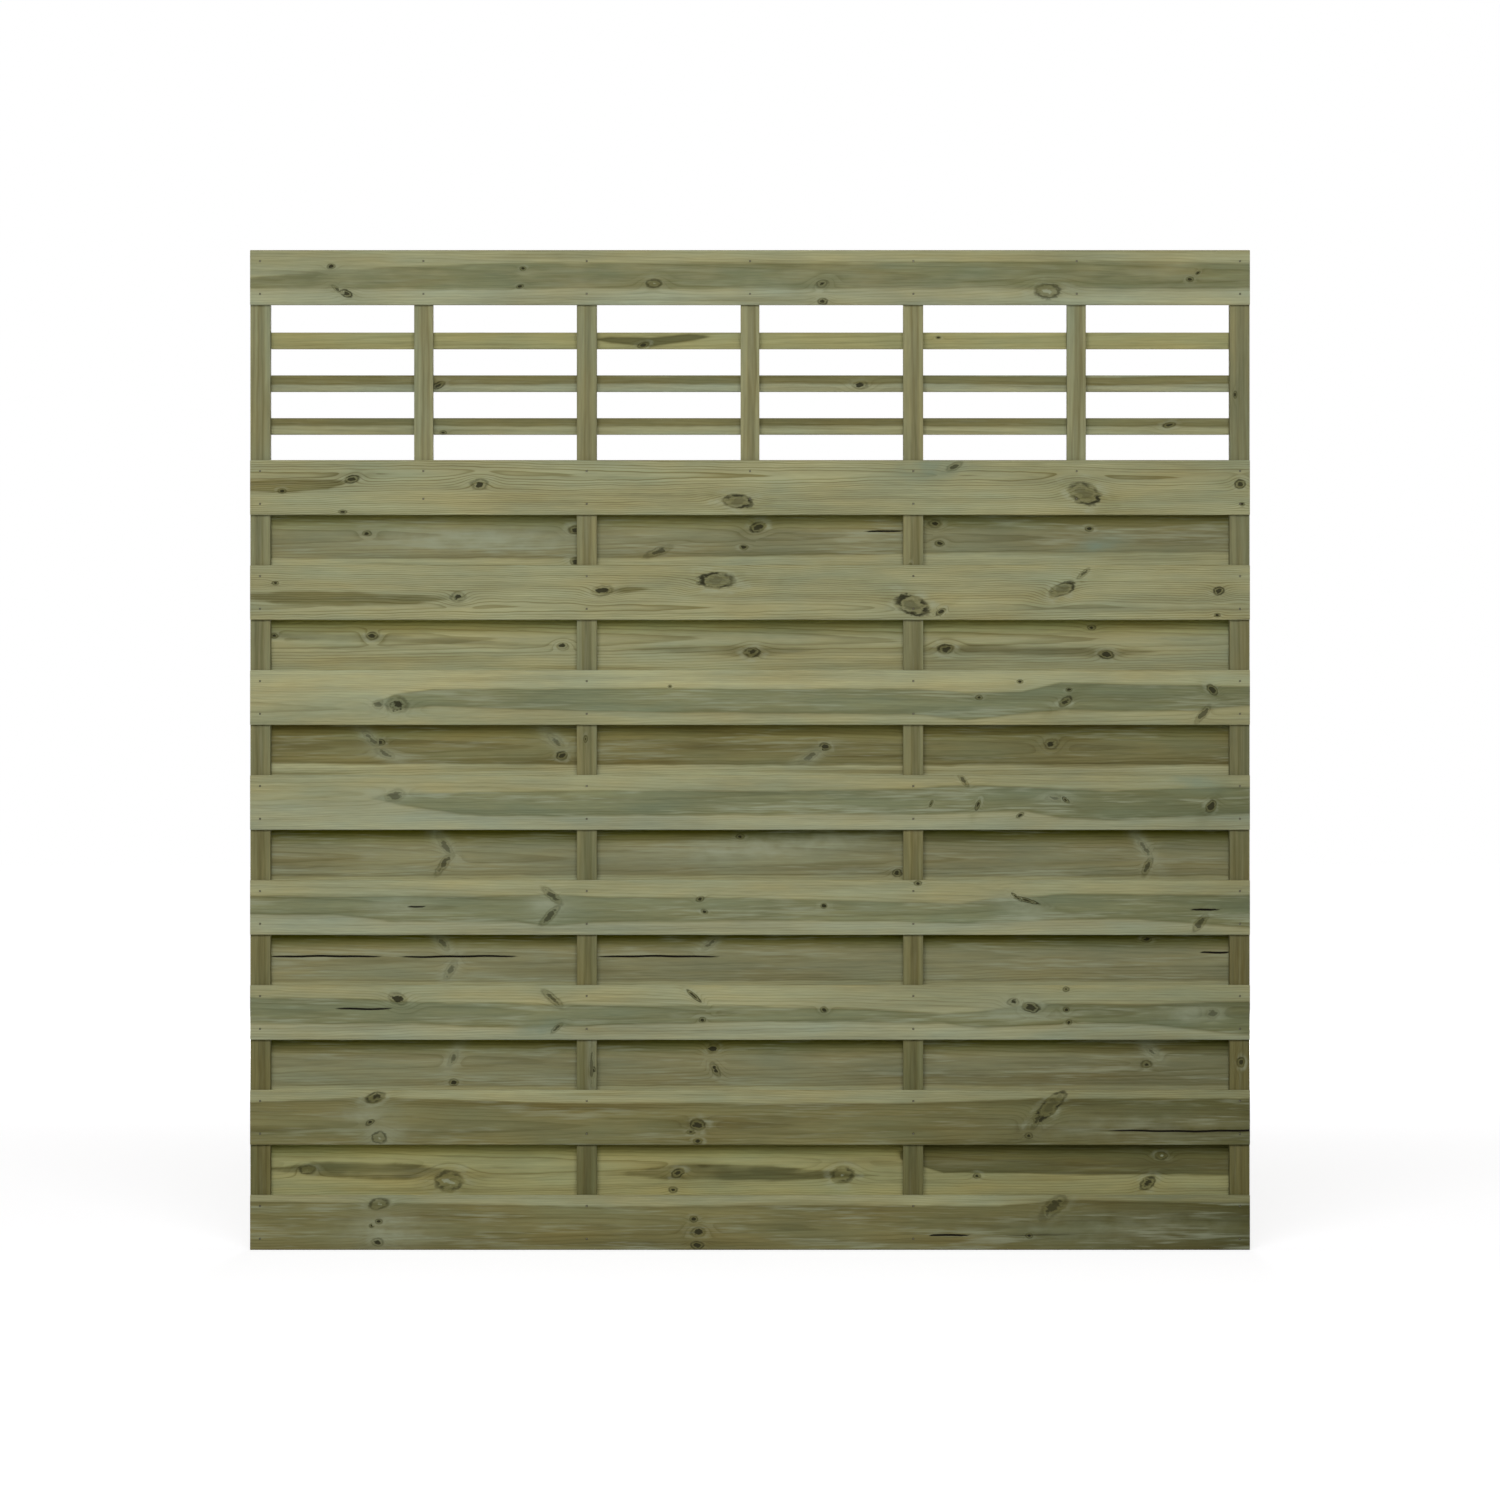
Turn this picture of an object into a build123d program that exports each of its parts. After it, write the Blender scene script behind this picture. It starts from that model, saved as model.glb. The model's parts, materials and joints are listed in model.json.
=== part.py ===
"""Openwork fence panel of pressure-treated softwood, 1.8 m square.

Horizontal boards are nailed by turns to the front and the back of four uprights, so that each
back board stands behind the gap between two front boards. Above them a top rail, short battens
between the uprights and thin slats along the back make an open top. The origin is at the middle
of the bottom edge, +Z is up and the front of the panel faces -Y.
"""

import os

from build123d import *

# Driving dimensions of the panel, in millimetres
panel_width = 1800.0  # over the ends of the boards
open_height = 279.0  # clear height of the open top, below the top rail
lower_board_count = 8  # front boards below the open top
upright_count = 4

# Boards, all sawn from one stock
board_width = 99.0
board_thickness = 8.0
board_lap = 4.5  # how far a back board runs behind the front board above and the one below
board_edge_radius = 2.0

# Uprights, and the short battens that stand midway between them in the open top
upright_width = 36.0
upright_depth = 28.0
batten_width = 34.0
batten_setback = 9.0  # from the lower edge of the highest lower board up to a batten's end
frame_chamfer = 1.0

# Slats across the open top
slat_count = 3
slat_width = 30.0
slat_thickness = 8.0
slat_edge_radius = 1.5

# Square brads, driven just below the face of the wood
brad_side = 2.5
brad_sink = 1.0  # from the face of the wood down to the top of a brad
brad_edge = 20.0  # from the edge of a board to the middle of a brad
brad_cover = 8.0  # wood left between the point of a brad and the far face of the frame

FRONT = -1
BACK = 1

# Heights, from the bottom edge of the panel
board_gap = board_width - 2 * board_lap
board_pitch = board_width + board_gap
lower_height = lower_board_count * board_pitch - board_gap
rail_low_edge = lower_height + open_height
panel_height = rail_low_edge + board_width
batten_low_end = lower_height - board_width + batten_setback
slat_gap = (open_height - slat_count * slat_width) / (slat_count + 1)
slat_pitch = slat_width + slat_gap

# Places along the panel, from its middle
upright_pitch = (panel_width - upright_width) / (upright_count - 1)
upright_places = [(n - (upright_count - 1) / 2) * upright_pitch for n in range(upright_count)]
batten_places = [x + upright_pitch / 2 for x in upright_places[:-1]]

# Depths, from the plane through the middle of the frame
frame_face = upright_depth / 2
brad_point = frame_face - (upright_depth - brad_cover)

# The lower edge of each horizontal piece, numbered from the top down
front_boards = {"top_rail": rail_low_edge}
for n in range(lower_board_count):
    front_boards[f"front_board_{n + 1}"] = lower_height - board_width - n * board_pitch
back_boards = {}
for n in range(lower_board_count - 1):
    back_boards[f"back_board_{n + 1}"] = lower_height - (n + 1) * board_pitch - board_lap
slats = {}
for n in range(slat_count):
    slats[f"slat_{n + 1}"] = rail_low_edge - (n + 1) * slat_pitch


def board_brads(low_edge, places):
    """Points, as (x, z), of the two brads that hold a board at each place along it."""
    heights = (low_edge + brad_edge, low_edge + board_width - brad_edge)
    return [(x, z) for x in places for z in heights]


front_brads = {label: board_brads(z, upright_places) for label, z in front_boards.items()}
front_brads["top_rail"] += board_brads(rail_low_edge, batten_places)
batten_brad_heights = (lower_height - brad_edge, batten_low_end + brad_edge)
front_brads["front_board_1"] += [(x, z) for x in batten_places for z in batten_brad_heights]
back_brads = {label: board_brads(z, upright_places) for label, z in back_boards.items()}
slat_brads = {
    label: [(x, z + slat_width / 2) for x in upright_places + batten_places]
    for label, z in slats.items()
}


def all_points(brads_by_piece):
    """The brads of every piece in one list."""
    return [point for points in brads_by_piece.values() for point in points]


def drive_brads(points, side, top, mode=Mode.ADD):
    """Adds brads, or cuts their holes, from the depth top to the point, square to the panel."""
    middle = side * (top + brad_point) / 2
    with Locations(*[(x, middle, z) for x, z in points]):
        Box(brad_side, top - brad_point, brad_side, mode=mode)


def save(piece, label):
    """Names a finished piece and writes it to its own file."""
    piece.part.label = label
    export_step(piece.part, f"parts/{label}.step")


def make_horizontal(label, low_edge, width, thickness, radius, side, points):
    """A board or slat across the panel, with eased edges and a hole for each of its brads."""
    middle = (side * (frame_face + thickness / 2), low_edge + width / 2)
    with BuildPart() as horizontal:
        with BuildSketch(Plane.YZ.offset(-panel_width / 2)):
            with Locations(middle):
                RectangleRounded(thickness, width, min(radius, 0.4 * thickness))
        extrude(amount=panel_width)
        drive_brads(points, side, frame_face + thickness, Mode.SUBTRACT)
    save(horizontal, label)


def make_vertical(label, place, width, low_end):
    """An upright or batten with chamfered edges, and the holes of the brads that go into it."""
    with BuildPart() as vertical:
        with BuildSketch(Plane.XY.offset(low_end)) as section:
            with Locations((place, 0)):
                Rectangle(width, upright_depth)
            chamfer(section.vertices(), length=frame_chamfer)
        extrude(amount=panel_height - low_end)
        for brads, side in ((front_brads, FRONT), (back_brads, BACK), (slat_brads, BACK)):
            points = [point for point in all_points(brads) if point[0] == place]
            if points:
                drive_brads(points, side, frame_face, Mode.SUBTRACT)
    save(vertical, label)


def make_brads(label, points, side, thickness):
    """All the brads of one kind, each a solid of its own."""
    with BuildPart() as brads:
        drive_brads(points, side, frame_face + thickness - brad_sink)
    save(brads, label)


os.makedirs("parts", exist_ok=True)

# Frame
for n, place in enumerate(upright_places):
    make_vertical(f"upright_{n + 1}", place, upright_width, 0)
for n, place in enumerate(batten_places):
    make_vertical(f"batten_{n + 1}", place, batten_width, batten_low_end)

# Boards on the front and on the back
for label, z in front_boards.items():
    points = front_brads[label]
    make_horizontal(label, z, board_width, board_thickness, board_edge_radius, FRONT, points)
for label, z in back_boards.items():
    points = back_brads[label]
    make_horizontal(label, z, board_width, board_thickness, board_edge_radius, BACK, points)

# Slats across the open top, on the back of the frame
for label, z in slats.items():
    points = slat_brads[label]
    make_horizontal(label, z, slat_width, slat_thickness, slat_edge_radius, BACK, points)

# Fasteners
make_brads("front_board_brads", all_points(front_brads), FRONT, board_thickness)
make_brads("back_board_brads", all_points(back_brads), BACK, board_thickness)
make_brads("slat_brads", all_points(slat_brads), BACK, slat_thickness)

print(f"panel {panel_width:g} wide, {panel_height:g} high, gap between front boards {board_gap:g}")
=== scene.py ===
# %% [markdown]
# # An openwork fence panel
#
# This lesson dresses a garden fence panel of green, pressure-treated pine. The CAD model already
# holds every board, upright, batten, slat and brad at its real size. What it lacks is what makes
# wood look like wood: growth rings, heartwood, knots, drying cracks and the small pits over the
# brads. Each wooden piece gets a denser mesh of the same form, which carries notes about its own
# timber, and one material reads those notes and draws the wood.

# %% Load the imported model
import json
import math
from types import SimpleNamespace

import bpy
import numpy as np
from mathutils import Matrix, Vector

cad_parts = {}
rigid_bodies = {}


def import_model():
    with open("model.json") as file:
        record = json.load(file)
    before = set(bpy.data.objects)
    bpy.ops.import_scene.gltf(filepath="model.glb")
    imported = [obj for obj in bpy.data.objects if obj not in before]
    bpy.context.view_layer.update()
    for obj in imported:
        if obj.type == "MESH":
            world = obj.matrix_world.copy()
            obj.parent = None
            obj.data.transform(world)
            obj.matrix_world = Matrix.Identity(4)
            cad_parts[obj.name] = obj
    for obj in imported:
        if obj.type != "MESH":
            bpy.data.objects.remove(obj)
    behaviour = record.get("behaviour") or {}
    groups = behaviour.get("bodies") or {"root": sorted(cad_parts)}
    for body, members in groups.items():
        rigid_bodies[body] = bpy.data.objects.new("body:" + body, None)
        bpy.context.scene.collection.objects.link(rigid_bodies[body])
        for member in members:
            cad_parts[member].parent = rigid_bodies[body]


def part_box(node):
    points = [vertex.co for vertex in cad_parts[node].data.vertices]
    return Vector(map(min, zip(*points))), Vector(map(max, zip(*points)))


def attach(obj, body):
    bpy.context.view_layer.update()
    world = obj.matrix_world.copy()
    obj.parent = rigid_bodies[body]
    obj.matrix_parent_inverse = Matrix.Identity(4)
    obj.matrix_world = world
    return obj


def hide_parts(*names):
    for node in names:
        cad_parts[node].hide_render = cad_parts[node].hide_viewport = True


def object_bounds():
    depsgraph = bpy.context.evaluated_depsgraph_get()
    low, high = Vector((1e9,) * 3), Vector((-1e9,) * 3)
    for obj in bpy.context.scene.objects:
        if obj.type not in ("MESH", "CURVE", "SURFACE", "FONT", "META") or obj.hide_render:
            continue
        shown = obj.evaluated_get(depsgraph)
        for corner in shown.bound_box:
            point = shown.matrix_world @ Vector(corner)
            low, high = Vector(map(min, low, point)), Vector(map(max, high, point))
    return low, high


for leftover in list(bpy.data.objects):
    bpy.data.objects.remove(leftover)
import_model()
cad_low, cad_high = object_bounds()
MM = 0.001
print("panel", [round(side, 4) for side in cad_high - cad_low], "metres")


def add_object(name, data):
    """A new object in the scene."""
    made = bpy.data.objects.new(name, data)
    bpy.context.scene.collection.objects.link(made)
    return made


# %% [markdown]
# ## The camera
#
# The photograph looks straight at the middle of the front, and no side of an upright shows, so
# the camera stood far away. A long lens from twelve metres gives that flat view and still shows
# depth when the panel is turned. The panel fills two thirds of the picture's width.

# %% Set up the camera
PICTURE_SHARE = 1000 / 1500
CAMERA_DISTANCE = 12.0

camera_data = bpy.data.cameras.new("camera")
camera = add_object("camera", camera_data)
picture_width = (cad_high.x - cad_low.x) / PICTURE_SHARE
camera_data.lens = camera_data.sensor_width * CAMERA_DISTANCE / picture_width
middle_height = (cad_low.z + cad_high.z) / 2
camera.location = (0, cad_low.y - CAMERA_DISTANCE, middle_height)
camera.rotation_euler = (math.pi / 2, 0, 0)
bpy.context.scene.camera = camera
print("lens", round(camera_data.lens), "mm")

# %% [markdown]
# ## What a sawyer would note about each piece
#
# Every board in the panel is a different slice of a tree. Some hold a grey-green band of
# heartwood between pale strips of sapwood, others show the cut ends of branches as knots. A list
# for each piece says where these are, in millimetres: along the piece from its left end, or from
# its foot, and up from its middle line. A knot has a kind, a place, a half-length, a half-width
# and, where it leans, a tilt in degrees. A kind is five strengths, and a core or a stain below zero
# is bleached instead of dark or blue. A band of heartwood has a strength and then points along it,
# each with its middle and its half-width. A crack has its two ends, its height and its depth. Where
# a board has another colour along its lower edge, that is noted too.

# %% Kinds of knot: dark rim, brown fill, dark core, blue stain and bend of the grain
KNOT_KINDS = {
    "eye": (0.4, 0.4, 0.95, 0, 1),
    "rim": (1, 0.8, 0.35, 0, 1),
    "dark": (0.85, 0.9, 0.9, 0, 0.8),
    "bark": (1, 0.6, 0.4, -0.25, 0.7),
    "spike": (0.3, 0.5, 0.7, 0, 0.3),
    "pale": (0.12, 0.35, 0.55, -0.55, 0.5),
    "button": (0.65, 0.8, -0.6, 0, 1),
    "stain": (0, 0, 0, 0.65, 0.1),
    "smear": (0, 0, 0, -0.6, 0.1),
    "haze": (0, 0, 0, -0.25, 0.1),
    "pin": (0.5, 0.85, 0.95, 0, 0.4),
}


def srgb(red, green, blue):
    """A colour as seen on a screen, from 0 to 255, turned into the linear values of a shader."""
    shares = [value / 255 for value in (red, green, blue)]
    return np.array([s / 12.92 if s <= 0.04045 else ((s + 0.055) / 1.055) ** 2.4 for s in shares])


# %% A few colours of treated pine, as seen on a screen
PALE_STRAW = (155, 154, 119)
STRAW = (145, 144, 110)
GREEN_STRAW = (144, 146, 118)
WARM_STRAW = (146, 143, 100)
DULL_STRAW = (134, 133, 101)
GREEN_HEART = (117, 120, 90)
OLIVE_HEART = (124, 122, 91)
BROWN_HEART = (114, 110, 74)
DARK_HEART = (95, 93, 60)

# %% The top rail and the upper front boards, from the top down
# A board's right shade is the strength of painted shade towards its right end.
front_notes = {
    "top_rail": dict(
        sap=STRAW, low_sap=GREEN_STRAW, heart=GREEN_HEART,
        weather=(0.35, 0.5, 0.8), rings=0.55, pith=(4, 34),
        bands=[[0.6, (-20, -12, 8), (120, -4, 18), (480, 3, 23), (1000, 3, 24), (1500, 4, 25),
                (1800, 2, 24)]],
        knots=[("pin", 146, 20, 8, 5), ("dark", 174, -29, 12, 7, -20), ("spike", 158, -22, 14, 4, -35),
               ("pin", 491, 16, 6, 4), ("pin", 486, -16, 7, 4, 20), ("button", 727, -11, 15, 8),
               ("eye", 1030, -11, 13, 7, 15), ("dark", 1031, -43, 9, 6), ("button", 1436, -25, 24, 14),
               ("pin", 1692, -3, 7, 5), ("pin", 1706, 8, 5, 3, 30)]),
    "front_board_1": dict(
        sap=STRAW, heart=BROWN_HEART, weather=(0.25, 0.3, 0.8), painted_right_shade=0.1, rings=1.6, pith=(22, 7),
        bands=[[1, (-40, 3, 8), (60, 3, 13), (140, 6, 9), (198, 12, -2)]],
        knots=[("dark", 184, 15, 13, 7, 15), ("pin", 58, -7, 8, 5), ("eye", 414, 6, 18, 10),
               ("pin", 167, -44, 8, 4), ("rim", 878, -25, 27, 12, -5), ("stain", 1228, 32, 44, 17, 10),
               ("spike", 1268, 38, 16, 7, 25), ("rim", 1503, -12, 29, 18, -22), ("dark", 1782, 6, 10, 9),
               ("pin", 1786, -30, 5, 4)]),
    "front_board_2": dict(
        sap=STRAW, heart=BROWN_HEART, weather=(0.25, 0.3, 0.8), painted_right_shade=0.1, rings=1.6, pith=(-26, 7),
        bands=[[0.8, (-20, -6, 4), (60, -10, 12), (180, -12, 13), (300, -12, 8), (385, -8, 0)],
               [1, (640, 2, 2), (680, 5, 5), (740, 8, -2)]],
        knots=[("pin", 45, 17, 7, 4), ("eye", 374, -8, 15, 9), ("eye", 634, 3, 19, 10, 8),
               ("rim", 839, 22, 33, 14), ("bark", 1192, -23, 31, 17, -20), ("dark", 1243, -35, 10, 5, 35),
               ("rim", 1463, 6, 24, 11, 22), ("spike", 1500, 34, 16, 5, 40), ("dark", 1744, 3, 10, 8),
               ("pin", 1741, -41, 6, 4)]),
    "front_board_3": dict(
        sap=PALE_STRAW, low_sap=STRAW, heart=GREEN_HEART,
        weather=(0.7, 0.3, 0.7), painted_right_shade=0.2, rings=0.6, pith=(-20, 20),
        bands=[[1, (215, -12, -2), (262, -8, 14), (330, -1, 16), (560, -4, 21), (900, -7, 22),
                (1200, -7, 24), (1290, -15, 25), (1390, -9, 21), (1460, 1, 25), (1700, -1, 23),
                (1800, 2, 18)]],
        knots=[("eye", 265, -13, 20, 15), ("pale", 232, -12, 12, 10), ("pin", 1312, 0, 7, 5),
               ("pin", 1386, 29, 6, 4), ("dark", 1468, -7, 13, 7, 35), ("pin", 1474, 14, 6, 4),
               ("dark", 1732, 14, 12, 7, -45), ("spike", 1715, -30, 22, 7, 50), ("pin", 756, 20, 4, 3)]),
    "front_board_4": dict(
        sap=STRAW, low_sap=GREEN_STRAW, heart=GREEN_HEART,
        weather=(0.9, 0.3, 0.7), painted_right_shade=0.3, rings=0.6, pith=(16, 22),
        bands=[[1, (200, 10, -2), (270, 6, 11), (380, -3, 20), (540, -2, 23), (900, 0, 22), (1200, 2, 24),
                (1290, 7, 25), (1400, 6, 22), (1460, -2, 27), (1560, -5, 27), (1800, 4, 25)]],
        knots=[("pale", 261, 13, 20, 12, 20), ("dark", 1310, -5, 10, 4, 68), ("pin", 1226, -2, 7, 3, 65),
               ("dark", 1468, 5, 8, 4, -40), ("smear", 240, 13, 26, 10), ("pin", 1386, -23, 8, 4, 30),
               ("pale", 1450, 8, 20, 8), ("dark", 1730, -7, 12, 8, 60), ("stain", 1706, 38, 26, 10, -20),
               ("spike", 1284, 40, 16, 5, -50)]),
}

# %% The lower front boards
front_notes.update({
    "front_board_5": dict(
        sap=STRAW, low_sap=GREEN_STRAW, heart=GREEN_HEART,
        weather=(0.8, 0.4, 0.7), painted_right_shade=0.25, rings=0.65, pith=(2, 34),
        bands=[[1, (-20, 4, 18), (150, 3, 18), (250, -2, 23), (480, -3, 24), (540, -5, 29), (620, -4, 24),
                (900, -4, 21), (1150, -6, 18), (1280, -11, 19), (1350, -5, 23), (1470, 1, 23),
                (1600, 1, 23), (1800, -6, 30)]],
        knots=[("spike", 544, 21, 25, 8, -42), ("spike", 540, -14, 27, 8, 45), ("pin", 810, 15, 8, 5, 20),
               ("pin", 818, -7, 7, 4, -20), ("pin", 1033, 3, 6, 5), ("pin", 1202, 44, 8, 5),
               ("dark", 1398, 13, 26, 4, -16), ("dark", 1380, 19, 13, 3, -38),
               ("smear", 1385, 3, 30, 13, -25), ("spike", 1710, -28, 22, 8, 50),
               ("smear", 540, 4, 24, 14), ("smear", 270, 4, 30, 10)],
        cracks=[(282, 316, 2, 1.6), (1696, 1742, -4, 3.0)]),
    "front_board_6": dict(
        sap=STRAW, low_sap=GREEN_STRAW, heart=GREEN_HEART,
        weather=(0.7, 0.4, 0.7), painted_right_shade=0.3, rings=0.65, pith=(-2, 35),
        bands=[[1, (-20, 4, 24), (200, 2, 23), (300, -1, 20), (500, -6, 22), (620, -6, 19), (900, -3, 14),
                (1100, -6, 12), (1250, -11, 9), (1310, -13, 15), (1420, -4, 21), (1500, -1, 17),
                (1600, -4, 18), (1700, -6, 25), (1800, -10, 30)]],
        knots=[("eye", 266, 25, 17, 11, -25), ("spike", 544, 26, 25, 8, -40),
               ("stain", 520, -32, 26, 10, 15), ("spike", 552, -28, 14, 5, 40),
               ("dark", 799, 30, 17, 4, -40), ("pin", 814, -13, 7, 5), ("pin", 1033, 5, 7, 6),
               ("eye", 1373, 19, 11, 7), ("dark", 1406, 9, 16, 9, -10), ("pin", 1469, 42, 7, 5),
               ("pin", 1469, 5, 6, 5), ("pin", 1474, -17, 6, 5), ("pale", 1733, -2, 13, 10),
               ("smear", 1690, -2, 28, 10), ("smear", 1380, 10, 32, 12)],
        cracks=[(155, 256, 7, 2.2)]),
    "front_board_7": dict(
        sap=STRAW, low_sap=DULL_STRAW, heart=BROWN_HEART,
        weather=(0.5, 0.9, 0.8), painted_right_shade=0.5, rings=0.7, pith=(-14, 26),
        bands=[[1, (-20, -13, 40), (220, -9, 46), (500, -12, 39), (800, -12, 37), (1150, -15, 40),
                (1430, -10, 45), (1800, -9, 43)]],
        knots=[("dark", 225, 36, 18, 9, 20), ("smear", 206, 6, 30, 9), ("button", 232, -36, 14, 11),
               ("smear", 240, -30, 24, 14), ("haze", 1600, -20, 130, 18), ("pin", 216, -9, 10, 5, 30),
               ("dark", 806, -13, 14, 10), ("pin", 794, -26, 8, 5), ("pin", 806, -43, 8, 5),
               ("rim", 1440, 20, 38, 12, 45), ("spike", 1418, -2, 22, 7, 60), ("pin", 1402, -33, 8, 6)],
        cracks=[(1540, 1900, -24, 3.0)]),
    "front_board_8": dict(
        sap=STRAW, low_sap=DULL_STRAW, heart=BROWN_HEART,
        weather=(0.7, 0.8, 0.9), painted_right_shade=0.65, rings=0.7, pith=(-10, 28),
        bands=[[1, (-20, -7, 46), (300, -8, 43), (600, -11, 40), (1000, -10, 41), (1350, -11, 40),
                (1460, -7, 47), (1800, -8, 44)]],
        knots=[("button", 232, 34, 19, 10, 10), ("pin", 232, 2, 7, 5), ("smear", 245, -14, 40, 22),
               ("pin", 219, -6, 5, 4), ("haze", 1580, -8, 130, 20), ("eye", 230, -35, 11, 8),
               ("pin", 799, 6, 8, 6), ("eye", 806, -16, 14, 9), ("dark", 805, -41, 12, 7),
               ("spike", 1446, 28, 34, 14, 45), ("pin", 1402, -24, 7, 5)],
        cracks=[(1220, 1294, -23, 2.6), (1350, 1496, -23, 0.7)]),
})
print(len(front_notes), "front boards noted")

# %% The back boards, from the top down
# A back board's lap shade is the strength of painted shade under the board in front of it.
back_notes = {
    "back_board_1": dict(
        sap=STRAW, low_sap=PALE_STRAW, heart=OLIVE_HEART,
        weather=(0.7, 0.6, 0.8), painted_lap_shade=0.4, painted_right_shade=0.1, rings=0.8, pith=(8, 30),
        bands=[[1, (-20, 8, 41), (560, 8, 41), (900, 9, 37), (1300, 14, 36), (1800, 13, 34)]],
        knots=[("smear", 400, 2, 110, 14), ("pin", 209, 13, 9, 5), ("dark", 585, 19, 13, 8),
               ("dark", 587, -38, 12, 8), ("dark", 913, 24, 14, 9, 20), ("spike", 734, -20, 28, 8, 20),
               ("pin", 889, -12, 8, 5), ("eye", 1233, 31, 12, 8), ("pin", 1242, -5, 9, 6),
               ("pin", 1512, 21, 8, 5), ("stain", 1530, -8, 30, 10, 10)],
        cracks=[(1108, 1176, 17, 2.0)]),
    "back_board_2": dict(
        sap=STRAW, heart=OLIVE_HEART, weather=(0.3, 0.7, 0.8), painted_lap_shade=0.6, rings=1.1, pith=(10, 28),
        bands=[[0.55, (-20, 20, 4), (120, 16, 8), (260, 12, 6), (420, 4, 4), (560, 0, 0)],
               [0.55, (660, -8, 0), (780, -7, 7), (904, -12, 9), (1030, -8, 0)],
               [0.55, (1210, -4, 0), (1300, -6, 8), (1543, -14, 8), (1640, -10, 0)]],
        knots=[("dark", 218, 17, 10, 7), ("pin", 41, 17, 7, 5), ("eye", 562, -1, 10, 6),
               ("dark", 904, -13, 15, 9), ("dark", 1253, -6, 14, 9), ("dark", 1543, -17, 14, 8),
               ("pin", 1517, 32, 9, 5)]),
    "back_board_3": dict(
        sap=STRAW, low_sap=PALE_STRAW, heart=BROWN_HEART,
        weather=(0.6, 1.0, 0.8), painted_lap_shade=0.2, rings=0.75, pith=(6, 30),
        bands=[[1, (-20, 14, 38), (500, 12, 39), (1000, 10, 38), (1800, 12, 39)]],
        knots=[("pale", 216, 20, 24, 8, -45), ("pale", 240, -6, 20, 8, -20), ("dark", 232, 14, 9, 6),
               ("pale", 549, 18, 20, 9, -40), ("dark", 560, -10, 10, 8), ("pale", 1008, -12, 24, 8, 30),
               ("dark", 1035, 6, 10, 7), ("eye", 1444, 10, 13, 10)]),
    "back_board_4": dict(
        sap=STRAW, heart=OLIVE_HEART,
        weather=(0.6, 0.6, 0.8), painted_lap_shade=1.3, painted_right_shade=0.1, rings=0.75, pith=(-6, 32),
        bands=[[1, (-20, 5, 44), (560, 4, 42), (1000, 6, 43), (1300, 4, 43), (1800, 4, 42)]],
        knots=[("pale", 350, 16, 26, 8, -52), ("spike", 346, -18, 24, 8, 55),
               ("smear", 930, 14, 120, 14, 5), ("pin", 882, 33, 8, 5), ("dark", 1166, -33, 9, 7),
               ("pale", 1612, 13, 26, 7, -55), ("spike", 1618, -20, 22, 7, 65)]),
    "back_board_5": dict(
        sap=DULL_STRAW, low_sap=STRAW, heart=OLIVE_HEART,
        weather=(0.6, 0.5, 0.7), painted_lap_shade=1.3, rings=0.75, pith=(2, 30),
        bands=[[1, (-20, 5, 45), (500, 4, 44), (1100, 5, 44), (1800, 3, 42)]],
        knots=[("pale", 346, 28, 18, 8, -50), ("pale", 360, -18, 22, 9, 60), ("pale", 828, 28, 18, 7, 40),
               ("pin", 1616, 36, 9, 6)],
        cracks=[(30, 236, 5, 3.2), (268, 482, 5, 3.0), (622, 846, 5, 2.6), (1712, 1768, 13, 2.4)]),
    "back_board_6": dict(
        sap=DULL_STRAW, low_sap=STRAW, heart=OLIVE_HEART,
        weather=(0.6, 0.6, 0.8), painted_lap_shade=1.15, painted_right_shade=0.2, rings=0.75, pith=(4, 34),
        bands=[[1, (-20, 5, 44), (500, 4, 44), (1100, 5, 44), (1800, 3, 42)]],
        knots=[("pale", 364, 10, 17, 8, 60), ("pin", 365, -33, 9, 7), ("eye", 833, 28, 11, 8, 20),
               ("eye", 838, -10, 15, 7, -60), ("pale", 1627, 21, 16, 7, -40), ("pin", 1616, 0, 10, 7)]),
    "back_board_7": dict(
        sap=WARM_STRAW, heart=DARK_HEART, weather=(0.2, 0.6, 0.8), painted_lap_shade=0.35, rings=1.0, pith=(6, 30),
        bands=[[0.65, (20, -2, 0), (110, -1, 13), (260, -5, 16), (420, -8, 0)],
               [0.65, (640, -10, 0), (780, -6, 16), (940, -9, 14), (1130, -12, 0)],
               [1, (1170, 24, 8), (1250, 22, 30), (1500, 20, 31), (1800, 21, 32)]],
        knots=[("button", 101, -2, 15, 8), ("button", 356, -22, 25, 19), ("dark", 769, -8, 12, 8, 20),
               ("pin", 761, -38, 9, 6), ("button", 1067, -11, 20, 15), ("button", 1643, 23, 11, 7),
               ("dark", 1618, -26, 16, 10, 40), ("pin", 1309, -13, 8, 5)]),
}
print(len(back_notes), "back boards noted")

# %% The slats, from the top down
slat_notes = {
    "slat_1": dict(
        sap=WARM_STRAW, heart=DARK_HEART, weather=(0.2, 0.3, 0.6), rings=0.5, pith=(20, 40),
        bands=[[1, (610, 4, 0), (650, 2, 7), (720, -3, 9), (790, 6, 6), (850, 10, -2)]],
        knots=[("dark", 707, -8, 10, 5, 15), ("pin", 1240, 6, 5, 3)]),
    "slat_2": dict(
        sap=GREEN_STRAW, heart=BROWN_HEART, weather=(0.3, 0.5, 0.6), rings=0.5, pith=(-18, 36),
        bands=[[1, (-20, 8, 10), (500, 7, 9), (900, 9, 10), (1300, 7, 8), (1560, 4, 8), (1800, 8, 9)]],
        knots=[("dark", 338, -3, 12, 6, 20), ("eye", 1100, -3, 14, 7)]),
    "slat_3": dict(
        sap=STRAW, heart=BROWN_HEART, weather=(0.3, 0.5, 0.6), rings=0.5, pith=(-22, 36),
        bands=[[1, (-20, 9, 9), (600, 8, 8), (1200, 9, 9), (1800, 8, 9)]],
        knots=[("pin", 347, -11, 7, 4), ("dark", 1656, 2, 12, 5, 10)]),
}
print(len(slat_notes), "slats noted")

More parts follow.
